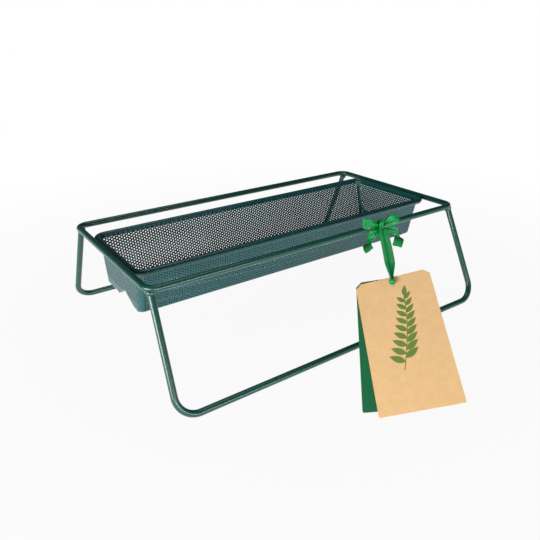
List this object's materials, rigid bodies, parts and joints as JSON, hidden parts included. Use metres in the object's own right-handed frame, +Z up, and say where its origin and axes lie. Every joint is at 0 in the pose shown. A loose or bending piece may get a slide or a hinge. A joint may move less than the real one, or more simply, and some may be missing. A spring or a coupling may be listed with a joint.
{
  "type": "ground bird feeder",
  "caption": "Low wire stand with splayed legs that holds a perforated metal seed tray for ground-feeding birds, with a ribbon bow and blank swing cards on the front rail.",
  "frame": {"origin": "on the floor, under the middle of the frame's footprint", "axes": "+X along the tray, towards the bow's end; +Z up; -Y towards the front rail that carries the bow"},
  "size_m": [0.3642, 0.391, 0.1104],
  "materials": {
    "frame_coating": "gloss powder-coated steel wire",
    "tray_coating": "satin powder-coated perforated steel sheet",
    "satin_ribbon": "satin woven polyester ribbon",
    "kraft_board": "uncoated kraft board",
    "green_board": "printed board"
  },
  "bodies": {
    "feeder": {"top_loop": "frame_coating", "front_leg": "frame_coating", "back_leg": "frame_coating", "corner_weld_front_left": "frame_coating", "corner_weld_front_right": "frame_coating", "corner_weld_back_left": "frame_coating", "corner_weld_back_right": "frame_coating", "rim_wire": "frame_coating", "tray_channel": "tray_coating", "left_end_panel": "tray_coating", "right_end_panel": "tray_coating", "tray_weld_front_left": "frame_coating", "tray_weld_front_right": "frame_coating", "tray_weld_back_left": "frame_coating", "tray_weld_back_right": "frame_coating"},
    "ribbon": {"rail_wrap": "satin_ribbon", "bow_knot": "satin_ribbon", "bow_loop_left": "satin_ribbon", "bow_loop_right": "satin_ribbon", "bow_tail_left": "satin_ribbon", "bow_tail_right": "satin_ribbon", "hanging_ribbon": "satin_ribbon", "card_tie": "satin_ribbon"},
    "front_card": {"kraft_card": "kraft_board"},
    "rear_card": {"green_card": "green_board"}
  },
  "joints": [
    {"name": "ribbon_swing", "type": "hinge", "parent": "feeder", "child": "ribbon", "pos_m": [0.062, -0.089, 0.099], "axis": [-1, 0, 0], "range_deg": [0, 70]},
    {"name": "front_card_turn", "type": "hinge", "parent": "ribbon", "child": "front_card", "pos_m": [0.03, -0.146, 0.06908], "axis": [-0.5287, -0.1821, 0.829], "range_deg": [0, 20]},
    {"name": "rear_card_turn", "type": "hinge", "parent": "ribbon", "child": "rear_card", "pos_m": [0.03, -0.146, 0.06908], "axis": [-0.5287, -0.1821, 0.829], "range_deg": [0, 14]}
  ]
}
